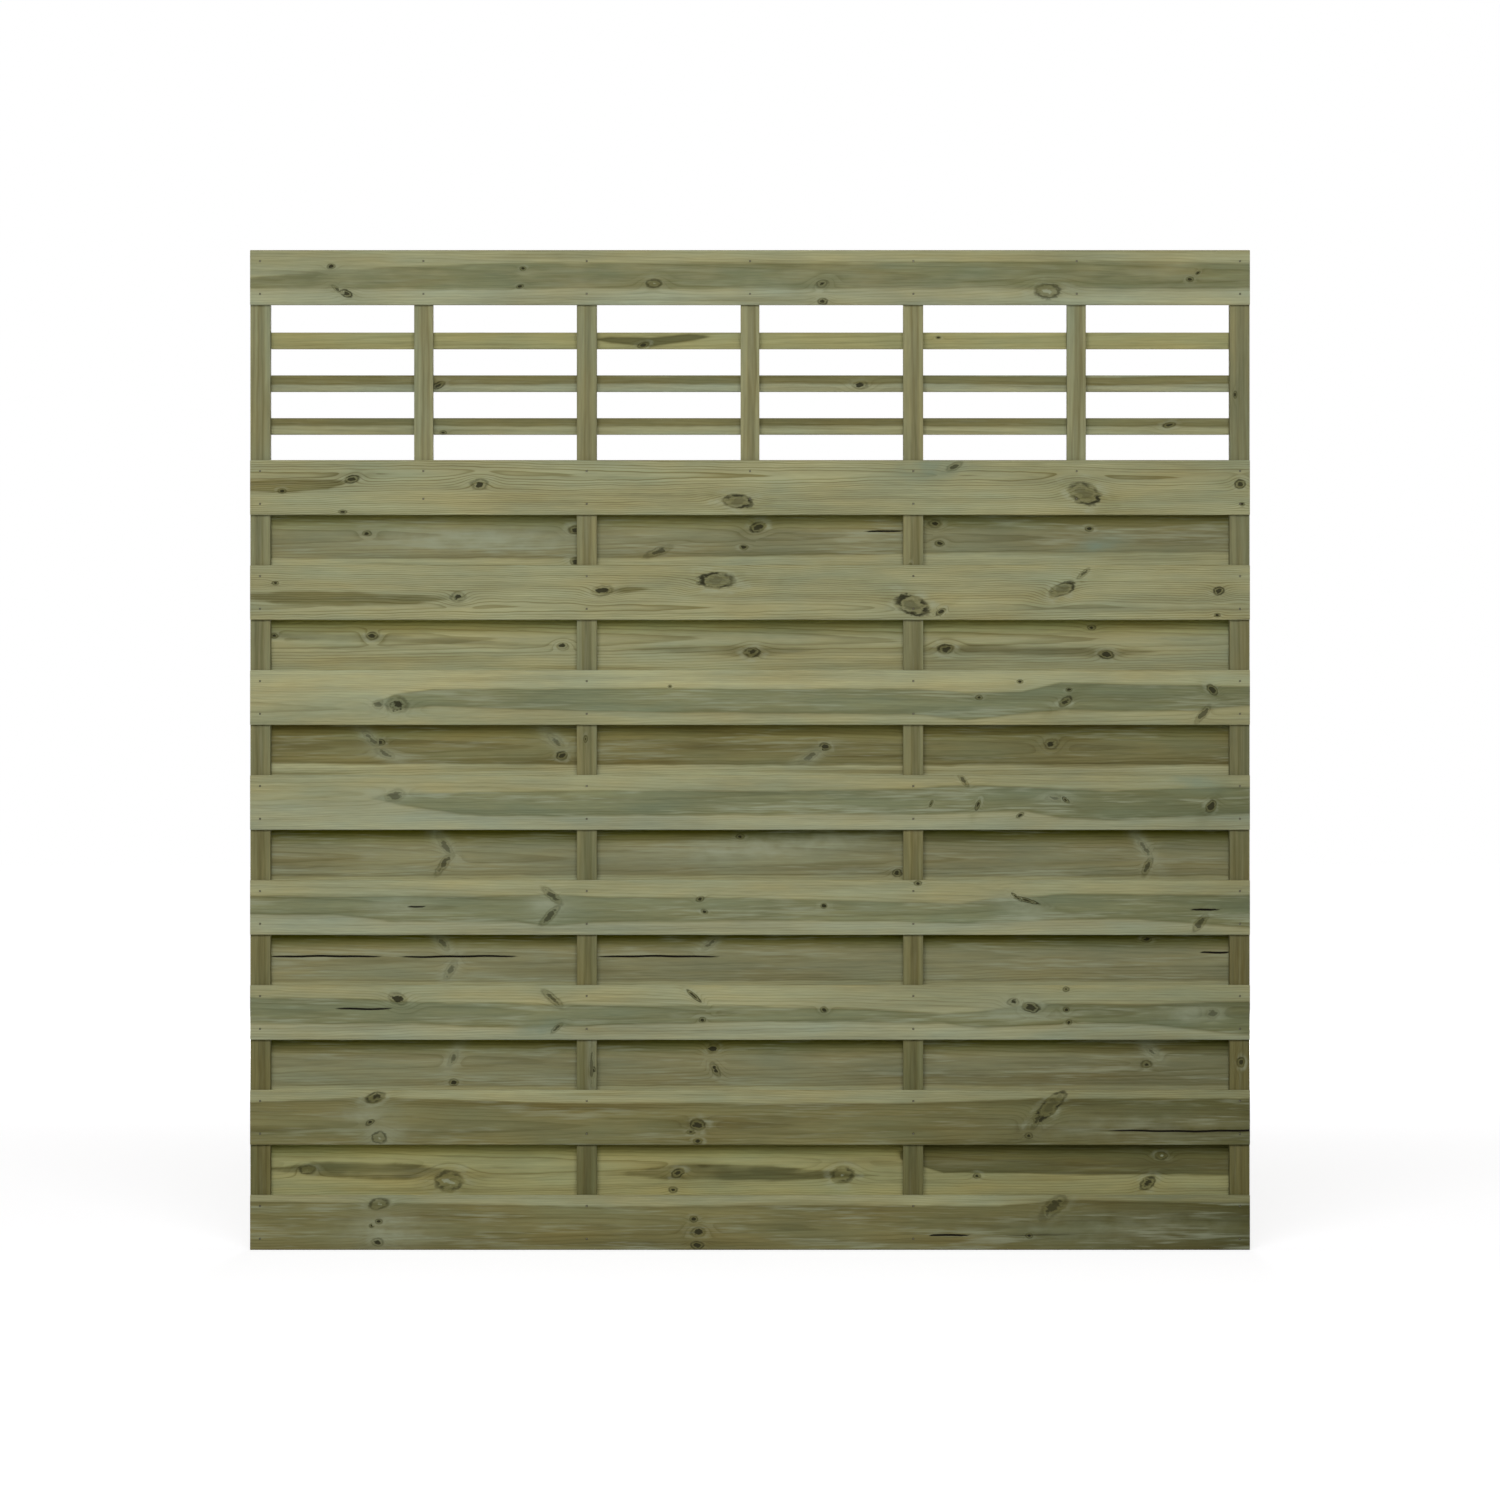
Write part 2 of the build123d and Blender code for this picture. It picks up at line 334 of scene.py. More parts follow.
# %% The uprights and battens, from left to right
frame_notes = {}
for number in range(1, 5):
    frame_notes[f"upright_{number}"] = dict(
        sap=DULL_STRAW, heart=OLIVE_HEART, weather=(0.15, 0.5, 0.6), rings=0.45,
        pith=(24 - 13 * number, 26 + 3 * number),
        bands=[[1, (-20, 6 - 3 * number, 9), (600, 3, 6), (1100, -6 + 3 * number, 8), (1800, 2, 5)]],
        knots=[("pin", 300 + 310 * number, 4 - 3 * number, 7, 4)])
frame_notes["upright_2"]["knots"] += [("pale", 330, 9, 48, 6), ("dark", 322, 12, 9, 4)]
frame_notes["upright_4"]["knots"] += [("dark", 338, 2, 9, 7)]
frame_notes["upright_4"]["sap"] = OLIVE_HEART
for number in range(1, 4):
    frame_notes[f"batten_{number}"] = dict(
        sap=DULL_STRAW, heart=OLIVE_HEART, weather=(0.2, 0.4, 0.6), rings=0.45,
        pith=(20 - 11 * number, 30),
        bands=[[1, (-20, 8 - 5 * number, 6), (250, 4, 7), (480, -5 + 3 * number, 5)]],
        knots=[])
print(len(frame_notes), "uprights and battens noted")

# %% [markdown]
# ## Where the brads go in
#
# The boards are held by brads on the middle line of each upright, two at each crossing and one
# where a slat crosses. The places follow from the boxes of the CAD pieces, so nothing has to be
# measured twice. A brad sits a little below the face, at the bottom of a small pit.

# %% Work out the places of the brads
BRAD_EDGE = 20 * MM
uprights = [f"upright_{number}" for number in range(1, 5)]
battens = [f"batten_{number}" for number in range(1, 4)]


def middle_x(node):
    """The middle line of an upright or batten."""
    low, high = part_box(node)
    return (low.x + high.x) / 2


upright_lines = [middle_x(node) for node in uprights]
batten_lines = [middle_x(node) for node in battens]
batten_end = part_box("batten_1")[0].z


def board_brads(node):
    """Points, as (x, z), of the brads in one board."""
    low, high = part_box(node)
    heights = (low.z + BRAD_EDGE, high.z - BRAD_EDGE)
    points = [(x, z) for x in upright_lines for z in heights]
    if node == "top_rail":
        points += [(x, z) for x in batten_lines for z in heights]
    if node == "front_board_1":
        heights = (high.z - BRAD_EDGE, batten_end + BRAD_EDGE)
        points += [(x, z) for x in batten_lines for z in heights]
    return points


def slat_brads(node):
    """Points, as (x, z), of the brads in one slat."""
    low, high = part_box(node)
    return [(x, (low.z + high.z) / 2) for x in upright_lines + batten_lines]


brads = {node: board_brads(node) for node in list(front_notes) + list(back_notes)}
brads.update({node: slat_brads(node) for node in slat_notes})
print(sum(len(points) for points in brads.values()), "brads")

# %% [markdown]
# ## The mesh of a plank
#
# A plank is its section pushed along its length. The section is a loop: rows across the front,
# a rounded edge, rows across the back and the other rounded edge. Stations along the plank repeat
# that loop. Extra stations and rows stand close around each brad, where the middle point is pushed
# in to make a pit, and three rows run along each drying crack, where the middle row is pushed in
# to make a real groove. The ends are closed by flat faces with a small bevel.

# %% Helpers for the stations and rows
STATION_STEP = 10 * MM
ROW_STEP = 6 * MM
PIT_RADII = (1.3 * MM, 2.2 * MM)
PIT_DEPTH = 1.15 * MM
# How dark the painted shade in a pit is.
PIT_SHADE = 0.32
CRACK_HALF = 2.3 * MM
# A crack this deep or deeper gets the full painted shade.
FULL_CRACK = 2.4 * MM
CRACK_WAVES = ((0.9 * MM, 21, 1), (0.4 * MM, 83, 2))
END_BEVEL = 0.8 * MM
CLOSEST = 0.2 * MM
ARC_STEPS = 3


def spread(low, high, step, centres, offsets):
    """Even places from low to high, with a close set of places around each centre."""
    even = np.linspace(low, high, max(2, round((high - low) / step)) + 1)
    clear = 1.5 * max(offsets, default=0)
    kept = [p for p in even if all(abs(p - c) > clear for c in centres) or p in (low, high)]
    close = [c + sign * d for c in centres for d in (0, *offsets) for sign in (-1, 1)]
    places = np.array(sorted(set(kept + [p for p in close if low < p < high])))
    return places[np.append(True, np.diff(places) > CLOSEST)]


def section(half_width, half_depth, radius, rows):
    """The loop of a plank's section: how far each point lies across and deep."""
    turn = np.linspace(0, math.pi / 2, ARC_STEPS + 1)
    rise = half_width - radius + radius * np.sin(turn[1:])
    back = half_depth - radius + radius * np.cos(turn[1:])
    side_v = np.concatenate([rise, rise[::-1]])
    side_w = np.concatenate([-back, back[::-1]])
    loop_v = np.concatenate([rows, side_v, rows[::-1], -side_v])
    loop_w = np.concatenate([np.full(len(rows), -half_depth), side_w,
                             np.full(len(rows), half_depth), -side_w])
    return loop_v, loop_w


# %% [markdown]
# ## Notes that the mesh carries
#
# A material can only ask about the point that it is shading. So the mesh carries the answers as
# attributes. `timber` is the point's place in the plank: along, across and deep. `heart` is how far
# the point lies inside the heartwood. Each face also names its nearest knot, so the material can
# draw that knot exactly, however coarse the mesh is, and `clear` says how much nearer it is than
# the next one, so that the bend of the grain dies out before a neighbour takes over.

# %% Helpers for the attributes
FAR_AWAY = ("pin", -9000, 0, 5, 5)
FAR_REACH = 9
SEED_STEP = 3.7
STAIN_STRETCH = 1.2
STAIN_FALL = 0.45
SMUDGE_STRETCH = 2.8
SMUDGE_FALL = 0.5
FULL_HEART = 2.4 * MM
BAND_POINT = 3
DEEPEST = 30 * MM
# Painted shade, warm and brown, under the lap of the board in front of a back board.
LAP_SHADE_WIDTH = 34 * MM
LAP_SHADE_DEPTH = (0.55, 0.55, 0.65)
LAP_SHADE_WARMTH = (0, 0, 0.4)
DARKEST = 0.03
# Painted shade towards a board's right end.
RIGHT_SHADE_START = 0.6
SAP_RIGHT_SHADE = 0.5
RIGHT_SHADE_TINT = (1, 1, 1.2)


def knot_table(notes):
    """The knots of a plank as rows, in metres: place, tilt, half-sizes, bend, paint and stain."""
    rows = []
    for kind, along, across, length, width, *lean in notes["knots"] + [FAR_AWAY]:
        rim, fill, core, stain, bend = KNOT_KINDS[kind]
        place = (along * MM, across * MM, math.radians(lean[0] if lean else 0))
        rows.append((*place, length * MM, width * MM, bend, rim, fill, core, stain))
    return np.array(rows)


def knot_reach(table, u, v, stretch=1):
    """How many knot sizes each point lies from each knot: 1 is on the rim."""
    du = u[None, :] - table[:, 0, None]
    dv = v[None, :] - table[:, 1, None]
    cos, sin = np.cos(table[:, 2, None]), np.sin(table[:, 2, None])
    x = (du * cos + dv * sin) / table[:, 3, None]
    y = (dv * cos - du * sin) / table[:, 4, None]
    return np.hypot(x / stretch, y)


def heart_depth(notes, u, v):
    """How far each point lies inside the heartwood: negative in the sapwood."""
    depth = np.full(len(u), -DEEPEST)
    for strength, *band in notes["bands"]:
        places, middles, halves = (np.array(column) * MM for column in zip(*band))
        inside = np.interp(u, places, halves) - np.abs(v - np.interp(u, places, middles))
        beyond = np.maximum(places[0] - u, u - places[-1])
        inside = np.where(beyond > 0, np.minimum(inside, -beyond / BAND_POINT), inside)
        inside = np.minimum(inside, FULL_HEART * strength if strength < 1 else np.inf)
        depth = np.maximum(depth, inside)
    return np.clip(depth, -DEEPEST, DEEPEST)


def add_attributes(mesh, **columns):
    """Stores numbers or vectors for the points or faces of a mesh, whichever there are as many of."""
    for name, values in columns.items():
        values = np.ascontiguousarray(values, dtype=np.float32)
        domain = "POINT" if len(values) == len(mesh.vertices) else "FACE"
        kind, key = ("FLOAT", "value") if values.ndim == 1 else ("FLOAT_VECTOR", "vector")
        mesh.attributes.new(name, kind, domain).data.foreach_set(key, values.ravel())


# %% [markdown]
# ## One plank, step by step
#
# The next cells lay out a plank, cut its cracks, pits and bevelled ends, join it into a closed
# mesh and write its notes. A plank is worked in its own directions, `u` along, `v` across and `w`
# deep, and only turned into the panel's directions when its mesh is joined.

# %% Lay out a plank
def lay_out(node, notes, upright, radius):
    """The size and place of a plank, with a grid of points: stations along, the section around."""
    p = SimpleNamespace(upright=upright)
    low, high = (np.array(corner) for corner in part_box(node))
    p.axes = (2, 0, 1) if upright else (0, 2, 1)
    size = (high - low)[list(p.axes)]
    p.length, p.half_width, p.half_depth = size[0], size[1] / 2, size[2] / 2
    p.origin = (low + high)[list(p.axes)] / 2
    p.origin[0] = low[p.axes[0]]
    p.brads = [] if upright else [(x - p.origin[0], z - p.origin[1]) for x, z in brads[node]]
    p.cracks = [tuple(value * MM for value in crack) for crack in notes.get("cracks", [])]
    brad_columns, brad_rows = (sorted({round(point[n], 5) for point in p.brads}) for n in (0, 1))
    stations = spread(0, p.length, STATION_STEP, brad_columns, PIT_RADII)
    stations = np.unique(np.concatenate([stations, [END_BEVEL, p.length - END_BEVEL]]))
    flat = p.half_width - radius
    rows = spread(-flat, flat, ROW_STEP, brad_rows, PIT_RADII)
    for height in sorted({crack[2] for crack in p.cracks}):
        rows = rows[np.abs(rows - height) > 1.5 * CRACK_HALF]
        rows = np.sort(np.concatenate([rows, height + CRACK_HALF * np.array([-1, 0, 1])]))
    loop_v, loop_w = section(p.half_width, p.half_depth, radius, rows)
    p.row_count = len(rows)
    p.u = np.repeat(stations[:, None], len(loop_v), axis=1)
    p.v = np.repeat(loop_v[None, :], len(stations), axis=0)
    p.w = np.repeat(loop_w[None, :], len(stations), axis=0)
    p.groove = np.zeros_like(p.u)
    return p


# %% Cut the cracks, the pits and the bevelled ends
def cut_cracks(p, number):
    """Pushes in the middle row of each crack on the front, and lets the crack waver."""
    flat_v = p.v
    front = np.isclose(p.w, -p.half_depth)
    for start, end, height, depth in p.cracks:
        on_row = front & np.isclose(flat_v, height)
        near = front & (np.abs(flat_v - height) < 1.1 * CRACK_HALF)
        share = np.clip((p.u - start) / (end - start), 0, 1)
        open_share = np.sqrt(np.clip(4 * share * (1 - share), 0, 1))
        # Painted shade in the crack, darker the deeper it is.
        p.groove = np.maximum(p.groove, np.where(on_row, open_share * min(1, depth / FULL_CRACK), 0))
        p.w = p.w + np.where(on_row, depth * open_share, 0)
        wave = sum(size * np.sin(p.u * rate + turn * number) for size, rate, turn in CRACK_WAVES)
        p.v = p.v + np.where(near & (share > 0) & (share < 1), wave * open_share, 0)


def sink_pits(p, outer, face):
    """Pushes in the face of a plank over each of its brads."""
    for x, z in p.brads:
        reach = np.maximum(np.abs(p.u - x), np.abs(p.v - z))
        sunk = face & (reach < 1.2 * PIT_RADII[0])
        p.w = p.w - outer * np.where(sunk, PIT_DEPTH, 0)
        # Painted shade in the pit.
        p.groove = np.maximum(p.groove, np.where(sunk, PIT_SHADE, 0))


def bevel_ends(p):
    """Draws in the first and the last station."""
    for end in (0, -1):
        p.v[end] *= 1 - END_BEVEL / p.half_width
        p.w[end] *= 1 - END_BEVEL / p.half_depth


# %% Join a plank into a closed mesh
def join_plank(name, p):
    """The mesh of a plank. Its rounded edges are smooth and all other faces flat."""
    stations, around = p.u.shape
    p.local = np.stack([p.u, p.v, p.w], axis=-1).reshape(-1, 3)
    corners = np.empty_like(p.local)
    corners[:, p.axes] = p.local + p.origin
    station, spot = np.meshgrid(np.arange(stations - 1), np.arange(around), indexing="ij")
    here = (station * around + spot).ravel()
    beside = (station * around + (spot + 1) % around).ravel()
    p.quads = np.stack([here, here + around, beside + around, beside], axis=1)
    first = np.arange(around)
    last = first[::-1] + (stations - 1) * around
    faces = [*p.quads.tolist(), first.tolist(), last.tolist()]
    if p.upright:
        faces = [face[::-1] for face in faces]
    mesh = bpy.data.meshes.new(name)
    mesh.from_pydata(corners.tolist(), [], faces)
    spot = spot.ravel()
    far_edge = p.row_count + 2 * ARC_STEPS
    rounded = np.zeros(len(faces), dtype=bool)
    rounded[:len(p.quads)] = (
        ((spot >= p.row_count - 1) & (spot < far_edge)) | (spot >= p.row_count + far_edge - 1))
    mesh.polygons.foreach_set("use_smooth", rounded)
    return mesh


# %% Write the notes about knots
def note_knots(mesh, p, notes, shift):
    """Names the nearest knot of each face, and spreads stains and smudges over the points."""
    u, v = p.local[:, 0], p.local[:, 1]
    end_middles = ((0, p.length), (0, 0))
    middles = [np.append(p.local[p.quads, n].mean(axis=1), end_middles[n]) for n in (0, 1)]
    every = knot_table(notes)
    table = every[every[:, 6] > 0]
    nearest = table[knot_reach(table, *middles).argmin(axis=0)]
    reach = np.sort(knot_reach(table, u, v), axis=0)
    next_reach = reach[1] if len(table) > 1 else reach[0] + FAR_REACH
    stain = np.exp(-STAIN_FALL * knot_reach(every, u, v, STAIN_STRETCH) ** 2) * every[:, 9, None]
    smudge = np.exp(-SMUDGE_FALL * knot_reach(every, u, v, SMUDGE_STRETCH) ** 2) * every[:, 6, None]
    add_attributes(
        mesh, stain=stain.max(axis=0) + stain.min(axis=0), smudge=smudge.max(axis=0),
        clear=np.clip(next_reach - reach[0], 0, FAR_REACH),
        knot_place=nearest[:, 0:3] + shift, knot_size=nearest[:, 3:6], knot_paint=nearest[:, 6:9])
    return middles[1]


# %% Write the notes about the wood
PLAIN = (1, 1, 1)


def painted_shade_of(p, notes, tone, heart):
    """Painted shade that the wood's colour is multiplied by: a shade at each end, under the lap above,
    towards the right.
    """
    along = (p.local[:, 0] / p.length)[:, None]
    painted_shades = (1 - along) * np.array(tone[0]) + along * np.array(tone[1])
    # Painted shade under the lap of the board in front: darkest and brownest at the upper edge.
    if "painted_lap_shade" in notes:
        lap_shade_share = np.clip((p.local[:, 1] - p.half_width) / LAP_SHADE_WIDTH + 1, 0, 1) * (p.local[:, 2] < 0)
        shade = notes["painted_lap_shade"] * np.array(LAP_SHADE_DEPTH) + np.array(LAP_SHADE_WARMTH)
        painted_shades *= np.maximum(1 - lap_shade_share[:, None] * shade, DARKEST)
    # Painted shade that darkens a board towards its right end, half as much in the sapwood.
    painted_right_shade = notes.get("painted_right_shade", 0) * np.clip((along - RIGHT_SHADE_START) / (1 - RIGHT_SHADE_START), 0, 1)
    heart_share = np.clip(heart / ROW_STEP + 0.5, 0, 1)[:, None]
    return painted_shades * (1 - painted_right_shade * (SAP_RIGHT_SHADE + (1 - SAP_RIGHT_SHADE) * heart_share) * np.array(RIGHT_SHADE_TINT))


def note_wood(mesh, p, notes, shift, middles_v, tone):
    """Writes down the place, heartwood, colours, rings and weather of the plank."""
    count = len(middles_v)
    heart = heart_depth(notes, p.local[:, 0], p.local[:, 1])
    share = np.clip(0.5 + middles_v / p.half_width, 0, 1)[:, None]
    sap = share * srgb(*notes["sap"]) + (1 - share) * srgb(*notes.get("low_sap", notes["sap"]))
    pith_v, pith_w = notes["pith"]
    even = {"heartwood": srgb(*notes["heart"]), "weather": notes["weather"],
            "pith": (pith_v * MM, pith_w * MM, notes["rings"])}
    even = {name: np.tile(value, (count, 1)) for name, value in even.items()}
    add_attributes(
        mesh, timber=p.local + shift, heart=heart, groove=p.groove.ravel(),
        tone=painted_shade_of(p, notes, tone, heart), sapwood=sap, **even,
        end_grain=np.arange(count) >= count - 2)


# %% Make one plank
def make_plank(node, notes, number, upright=False, radius=2 * MM, outer=-1, tone=(PLAIN, PLAIN)):
    """A wooden piece in the place of a CAD node, with the notes of its timber."""
    p = lay_out(node, notes, upright, radius)
    face = np.isclose(p.w, outer * p.half_depth)
    cut_cracks(p, number)
    sink_pits(p, outer, face)
    bevel_ends(p)
    mesh = join_plank(node + "_wood", p)
    shift = np.array([SEED_STEP * number, 0, 0])
    middles_v = note_knots(mesh, p, notes, shift)
    note_wood(mesh, p, notes, shift, middles_v, tone)
    return add_object(node + "_wood", mesh)


# %% [markdown]
# ## Sums that become nodes
#
# A wood material is mostly arithmetic: distances from the pith, fractions of a ring, masks.
# Written as Math nodes by hand that is unreadable, so a small class wraps a socket, and a sum or
# product of two wrapped sockets adds the Math node. One method adds any other node.

# %% A wire in a node tree
class Wire:
    """An output socket of a node tree. Arithmetic on wires adds Math nodes."""

    def __init__(self, tree, socket=None):
        self.tree = tree
        self.socket = socket

    def node(self, kind, inputs=(), output=0, **settings):
        """Adds a node with its settings, and sets or links its input sockets."""
        made = self.tree.nodes.new(kind)
        for name, value in settings.items():
            setattr(made, name, value)
        for name, value in dict(inputs).items():
            if isinstance(value, Wire):
                self.tree.links.new(value.socket, made.inputs[name])
            else:
                made.inputs[name].default_value = value
        return Wire(self.tree, made.outputs[output] if made.outputs else None)

    def math(self, operation, *values):
        """A Math node on these values, in order."""
        return self.node("ShaderNodeMath", enumerate(values), operation=operation)

    def __add__(self, other):
        return self.math("ADD", self, other)

    __radd__ = __add__

    def __sub__(self, other):
        return self.math("SUBTRACT", self, other)

    def __rsub__(self, other):
        return self.math("SUBTRACT", other, self)

    def __mul__(self, other):
        return self.math("MULTIPLY", self, other)

    __rmul__ = __mul__

    def __truediv__(self, other):
        return self.math("DIVIDE", self, other)

    def step(self, low, high):
        """Rises smoothly from 0 to 1 as the wire goes from low to high."""
        inputs = {"Value": self, "From Min": low, "From Max": high}
        return self.node("ShaderNodeMapRange", inputs, interpolation_type="SMOOTHSTEP")

    def mix(self, first, second, kind="MIX"):
        """A colour between two others, with this wire as the factor."""
        inputs = {0: self, 6: first, 7: second}
        return self.node("ShaderNodeMix", inputs, 2, data_type="RGBA", blend_type=kind)


# %% Helpers that start a material and read the notes
def start_material(name):
    """A new material with an empty tree, and a wire to build it with."""
    material = bpy.data.materials.new(name)
    material.use_nodes = True
    material.node_tree.nodes.clear()
    return material, Wire(material.node_tree)


def note(wire, name, output="Vector"):
    """An attribute of the mesh."""
    return wire.node("ShaderNodeAttribute", output=output, attribute_name=name)


def parts_of(vector):
    """The three parts of a vector wire."""
    split = vector.node("ShaderNodeSeparateXYZ", {0: vector})
    return [Wire(vector.tree, split.socket.node.outputs[n]) for n in range(3)]


def multiplied(first, second):
    """Two colours or vectors, part by part."""
    return first.node("ShaderNodeVectorMath", {0: first, 1: second}, operation="MULTIPLY")


def stretched_noise(vector, along, across, detail=2.0):
    """Noise from -1 to 1, with one scale along the plank and another across and into it."""
    inputs = {"Vector": multiplied(vector, (along, across, across)), "Scale": 1.0, "Detail": detail}
    return vector.node("ShaderNodeTexNoise", inputs) * 2 - 1


def colour(red, green, blue):
    """A screen colour as the value of a colour socket."""
    return (*srgb(red, green, blue), 1)


# %% [markdown]
# ## Treated pine
#
# A board is cut from a trunk, so its rings are slices through nested cones around the pith. The
# material measures each point's distance from a pith line that wanders a little and draws a dark
# line of latewood at the end of each year. Near a knot the rings rise in a dome, as the wood grew
# round the branch, and the cut through that dome gives the closed loops seen around a knot.

# %% Read the notes of a plank, and add noises by scale along, scale across and detail
NOISES = {
    "sway": (13, 34, 2.0), "mottle": (4, 14, 2.0), "streak": (3, 130, 3.0), "fibre": (24, 480, 3.0),
    "hue": (5, 24, 3.0), "ragged": (80, 150, 4.0), "patchy": (30, 55, 2.0), "wander": (1.6, 5, 1.0),
    "smoke": (2.4, 62, 3.0), "milk": (5, 48, 2.0), "fine_milk": (17, 260, 2.0),
}


def read_notes(pine):
    """Wires for all that the mesh says about a point, and for the noises."""
    n = SimpleNamespace()
    n.place = note(pine, "timber")
    n.u, n.v, n.w = parts_of(n.place)
    n.knot_u, n.knot_v, n.tilt = parts_of(note(pine, "knot_place"))
    n.half_length, n.half_width, n.bend = parts_of(note(pine, "knot_size"))
    n.rim, n.fill, n.core = parts_of(note(pine, "knot_paint"))
    n.pith_v, n.pith_w, n.rings = parts_of(note(pine, "pith"))
    n.bleach, n.brown, n.blotch = parts_of(note(pine, "weather"))
    n.tone = note(pine, "tone")
    for name in ("heart", "clear", "groove", "stain", "smudge", "end_grain"):
        setattr(n, name, note(pine, name, "Fac"))
    for name, scales in NOISES.items():
        setattr(n, name, stretched_noise(n.place, *scales))
    return n


# %% Rings of growth
RING_SPACING = 3.6 * MM
TAPER = 0.010
WANDER = 10 * MM
SWAY = 3.2 * MM
DOME_FALL = 0.32
DOME_RISE = 10 * MM
DOME_PULL = 0.5
DOME_CLEAR = (0.0, 0.9)
RING_RIPPLE = 0.16
LATE_START = (0.52, 0.90)
LATE_END = (0.93, 1.0)
FAINTEST = 0.40


def knot_distance(pine, n):
    """How many knot sizes a point lies from its nearest knot."""
    du = n.u - n.knot_u
    dv = n.v - n.knot_v
    cos, sin = pine.math("COSINE", n.tilt), pine.math("SINE", n.tilt)
    x = (du * cos + dv * sin) / n.half_length
    y = (dv * cos - du * sin) / n.half_width
    return pine.math("SQRT", x * x + y * y)


def growth_rings(pine, n, reach):
    """The lines of latewood, from 0 to 1."""
    dome = pine.math("EXPONENT", reach * reach * -DOME_FALL) * n.bend * n.clear.step(*DOME_CLEAR)
    across = n.v - (n.v - n.knot_v) * dome * DOME_PULL - n.pith_v + n.wander * WANDER + n.sway * SWAY
    deep = n.w - n.pith_w
    radius = pine.math("SQRT", across * across + deep * deep) + n.u * TAPER + dome * DOME_RISE
    years = radius / RING_SPACING + n.streak * RING_RIPPLE
    season = pine.math("FRACT", years)
    year = pine.math("FLOOR", years)
    chance = pine.node("ShaderNodeTexWhiteNoise", {"W": year}, noise_dimensions="1D")
    line = season.step(*LATE_START) * (1 - season.step(*LATE_END))
    return line * (FAINTEST + chance * (1 - FAINTEST))


# %% [markdown]
# ## The colour of the wood
#
# Sapwood is pale and heartwood dark, with a thin brown line between them. The preservative left
# bleached, bluish smears and brown streaks that run with the grain, more on some boards than on
# others. All of these are noises stretched along the plank, each with its own strength.

# %% Colour of the wood between the knots
COOL_TINT = (0.93, 1.0, 1.03, 1)
WARM_TINT = (1.06, 1.0, 0.86, 1)
LATEWOOD_SHADE = (0.60, 0.56, 0.44, 1)
BROWN_SHADE = (0.66, 0.60, 0.46, 1)
EDGE_SHADE = (0.66, 0.62, 0.50, 1)
EDGE_FALL = -1 / (2.5 * MM) ** 2
HEART_EDGE = (-1.2 * MM, 2.8 * MM)
PATCH_EDGE = (-0.02, 0.42)
SMOKE_STRENGTH = 0.8
SAP_MILK = 0.18
HEART_MILK = 0.50
LINE_STRENGTH = 0.7
BLEACH_COLOUR = colour(148, 154, 128)
STAIN_COLOUR = colour(112, 126, 106)


def body_colour(pine, n, late):
    """The wood away from its knots."""
    inner = n.heart + n.sway * (2.5 * MM) + n.streak * (2 * MM) + n.mottle * (2.5 * MM)
    inside_heart = inner.step(*HEART_EDGE)
    wood = inside_heart.mix(note(pine, "sapwood"), note(pine, "heartwood"))
    tint = (0.5 + n.hue * 1.3).mix(COOL_TINT, WARM_TINT)
    # The painted shade of the plank multiplies the wood's colour.
    wood = multiplied(multiplied(wood, tint), n.tone)
    lightness = 1 + n.mottle * n.blotch * 0.30 + n.streak * 0.26 + n.fibre * 0.22
    wood = pine.node("ShaderNodeVectorMath", {0: wood, "Scale": lightness}, operation="SCALE")
    edge = pine.math("EXPONENT", (inner - MM) * (inner - MM) * EDGE_FALL) * (0.45 + n.streak * 0.5)
    wood = edge.mix(wood, EDGE_SHADE, "MULTIPLY")
    smoke = n.smoke.step(*PATCH_EDGE) * n.brown * SMOKE_STRENGTH
    wood = smoke.mix(wood, BROWN_SHADE, "MULTIPLY")
    milk = (n.milk * 0.7 + n.fine_milk * 0.5).step(*PATCH_EDGE)
    milk = milk * n.bleach * (SAP_MILK + inside_heart * HEART_MILK)
    wood = milk.mix(wood, BLEACH_COLOUR)
    line = pine.math("MINIMUM", late * n.rings * LINE_STRENGTH, 1.0)
    return line.mix(wood, LATEWOOD_SHADE, "MULTIPLY")


# %% [markdown]
# ## Knots
#
# No knot is a neat target. Its outline breaks off, its middle is a dark, splintered spot, and a
# grey smudge runs out of it along the grain. So every edge is pushed about by noise before it is
# drawn, and the rim is kept only where a second, coarser noise allows.

# %% Paint the knots, with edges in knot sizes, and painted shade in the grooves
RIM_COLOUR = colour(32, 31, 16)
FILL_COLOUR = colour(84, 82, 46)
SMUDGE_SHADE = (0.62, 0.60, 0.46, 1)
# Painted shade in cracks and pits.
GROOVE_SHADE_COLOUR = colour(24, 20, 13)
END_SHADE = (0.62, 0.58, 0.50, 1)
FILL_EDGE = (0.86, 1.04)
RIM_START, RIM_END = (0.66, 0.88), (0.98, 1.20)
FRINGE_START, FRINGE_END = (0.95, 1.25), (1.35, 2.2)
FRINGE_CLEAR = (0.0, 0.8)
RIM_KEPT = (-0.45, 0.25)
CORE_EDGE = (0.36, 0.62)
PALE_EDGE = (0.10, 0.30)
GROOVE_EDGE = (0.08, 0.40)


